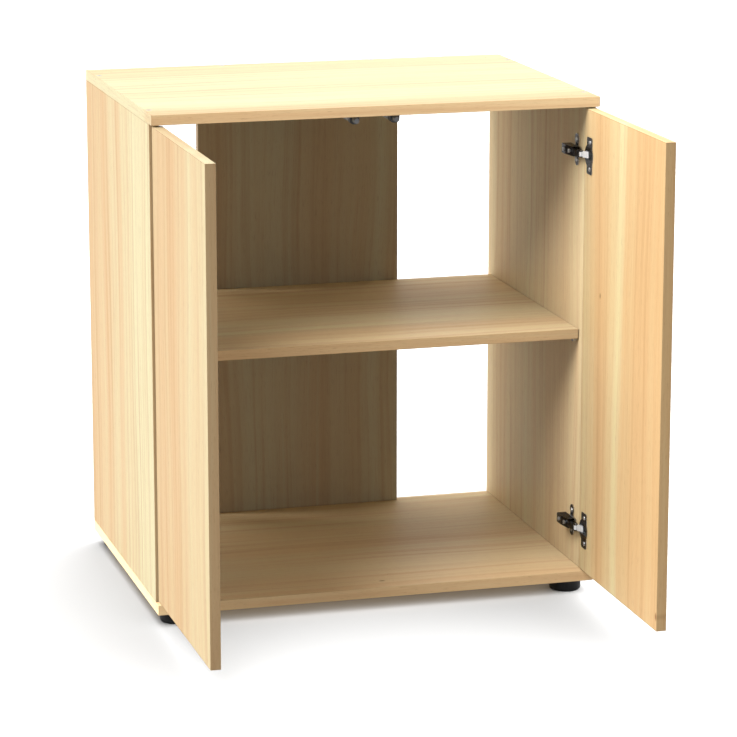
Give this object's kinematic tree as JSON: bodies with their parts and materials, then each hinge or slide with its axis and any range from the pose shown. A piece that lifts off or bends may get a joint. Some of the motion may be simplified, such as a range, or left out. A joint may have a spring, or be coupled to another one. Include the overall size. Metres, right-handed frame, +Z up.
{
  "type": "aquarium stand cabinet",
  "caption": "Light wood decor aquarium stand cabinet with overlay doors on cup hinges, push latches, a loose shelf, a narrow back board and round feet.",
  "frame": {"origin": "on the floor, in the middle of the footprint of the cabinet with both doors standing open at 90 degrees; the carcass front plane is at y = -0.08525 and its rear at y = 0.42475", "axes": "+X to the cabinet's right as seen from the front, +Y to the back, +Z up"},
  "size_m": [0.71, 0.8496, 0.8],
  "materials": {
    "decor_top": "light wood decor, satin, grain along the width",
    "decor_base": "light wood decor, satin, grain along the width",
    "decor_sides": "light wood decor, satin, upright grain",
    "decor_back": "light wood decor, satin, upright grain",
    "decor_shelf": "light wood decor, satin, grain along the width",
    "decor_doors": "light wood decor, satin, upright grain",
    "carcass_screw_steel": "zinc plated",
    "beech": "plain fluted beech",
    "peg_steel": "dark nickel",
    "bright_screw_steel": "bright nickel",
    "hinge_dark_steel": "polished nickel",
    "hinge_arm_steel": "polished nickel",
    "hinge_link_steel": "polished nickel",
    "latch_grey_plastic": "fine matt grey",
    "latch_dark_plastic": "fine matt charcoal",
    "latch_plunger_plastic": "smooth grey",
    "latch_tip_rubber": "soft dark grey",
    "spring_steel": "drawn wire",
    "foot_plastic": "black, fine satin"
  },
  "bodies": {
    "carcass": {"top_panel": "decor_top", "base_panel": "decor_base", "left_side_panel": "decor_sides", "right_side_panel": "decor_sides", "back_panel": "decor_back", "top_carcass_screws": "carcass_screw_steel", "base_carcass_screws": "carcass_screw_steel", "top_dowels": "beech", "base_dowels": "beech", "shelf_pegs": "peg_steel", "foot_screws": "bright_screw_steel", "mounting_plate_screws": "bright_screw_steel", "arm_nose_pins": "bright_screw_steel", "hinge_arm_screws": "bright_screw_steel", "latch_screws": "bright_screw_steel", "front_left_foot": "foot_plastic", "front_right_foot": "foot_plastic", "rear_left_foot": "foot_plastic", "rear_right_foot": "foot_plastic", "left_lower_mounting_plate": "hinge_dark_steel", "left_lower_hinge_arm": "hinge_arm_steel", "left_upper_mounting_plate": "hinge_dark_steel", "left_upper_hinge_arm": "hinge_arm_steel", "left_latch_cartridge": "latch_grey_plastic", "left_latch_holder": "latch_dark_plastic", "left_latch_spring": "spring_steel", "right_lower_mounting_plate": "hinge_dark_steel", "right_lower_hinge_arm": "hinge_arm_steel", "right_upper_mounting_plate": "hinge_dark_steel", "right_upper_hinge_arm": "hinge_arm_steel", "right_latch_cartridge": "latch_grey_plastic", "right_latch_holder": "latch_dark_plastic", "right_latch_spring": "spring_steel"},
    "left_lower_link": {"left_lower_hinge_link": "hinge_link_steel", "left_lower_cup_pin": "hinge_link_steel"},
    "left_upper_link": {"left_upper_hinge_link": "hinge_link_steel", "left_upper_cup_pin": "hinge_link_steel"},
    "left_door": {"left_door": "decor_doors", "left_cup_screws": "bright_screw_steel", "left_lower_hinge_cup": "hinge_dark_steel", "left_upper_hinge_cup": "hinge_dark_steel"},
    "left_latch_plunger": {"left_latch_plunger": "latch_plunger_plastic", "left_latch_tip": "latch_tip_rubber"},
    "right_lower_link": {"right_lower_hinge_link": "hinge_link_steel", "right_lower_cup_pin": "hinge_link_steel"},
    "right_upper_link": {"right_upper_hinge_link": "hinge_link_steel", "right_upper_cup_pin": "hinge_link_steel"},
    "right_door": {"right_door": "decor_doors", "right_cup_screws": "bright_screw_steel", "right_lower_hinge_cup": "hinge_dark_steel", "right_upper_hinge_cup": "hinge_dark_steel"},
    "right_latch_plunger": {"right_latch_plunger": "latch_plunger_plastic", "right_latch_tip": "latch_tip_rubber"},
    "shelf": {"shelf": "decor_shelf"}
  },
  "joints": [
    {"name": "left_door_swing", "type": "hinge", "parent": "carcass", "child": "left_door", "pos_m": [-0.346, -0.07975, 0.41], "axis": [0, 0, 1], "range_deg": [-15, 90]},
    {"name": "left_lower_link_swing", "type": "hinge", "parent": "carcass", "child": "left_lower_link", "pos_m": [-0.329, -0.07375, 0.1065], "axis": [0, 0, 1], "range_deg": [-57, 10]},
    {"name": "left_upper_link_swing", "type": "hinge", "parent": "carcass", "child": "left_upper_link", "pos_m": [-0.329, -0.07375, 0.7095], "axis": [0, 0, 1], "range_deg": [-57, 10]},
    {"name": "left_latch_press", "type": "slide", "parent": "carcass", "child": "left_latch_plunger", "axis": [0, 1, 0], "range_m": [0, 0.01], "stiffness_N_per_m": 150, "springref_m": -0.01},
    {"name": "right_door_swing", "type": "hinge", "parent": "carcass", "child": "right_door", "pos_m": [0.346, -0.07975, 0.41], "axis": [0, 0, -1], "range_deg": [-15, 90]},
    {"name": "right_lower_link_swing", "type": "hinge", "parent": "carcass", "child": "right_lower_link", "pos_m": [0.329, -0.07375, 0.1065], "axis": [0, 0, -1], "range_deg": [-57, 10]},
    {"name": "right_upper_link_swing", "type": "hinge", "parent": "carcass", "child": "right_upper_link", "pos_m": [0.329, -0.07375, 0.7095], "axis": [0, 0, -1], "range_deg": [-57, 10]},
    {"name": "right_latch_press", "type": "slide", "parent": "carcass", "child": "right_latch_plunger", "axis": [0, 1, 0], "range_m": [0, 0.01], "stiffness_N_per_m": 150, "springref_m": -0.01},
    {"name": "shelf_lift", "type": "slide", "parent": "carcass", "child": "shelf", "axis": [0, 0, 1], "range_m": [0, 0.12]}
  ],
  "couplings": [
    {"joint": "left_lower_link_swing", "follows": "left_door_swing", "ratio": -0.62222},
    {"joint": "left_upper_link_swing", "follows": "left_door_swing", "ratio": -0.62222},
    {"joint": "right_lower_link_swing", "follows": "right_door_swing", "ratio": -0.62222},
    {"joint": "right_upper_link_swing", "follows": "right_door_swing", "ratio": -0.62222}
  ]
}
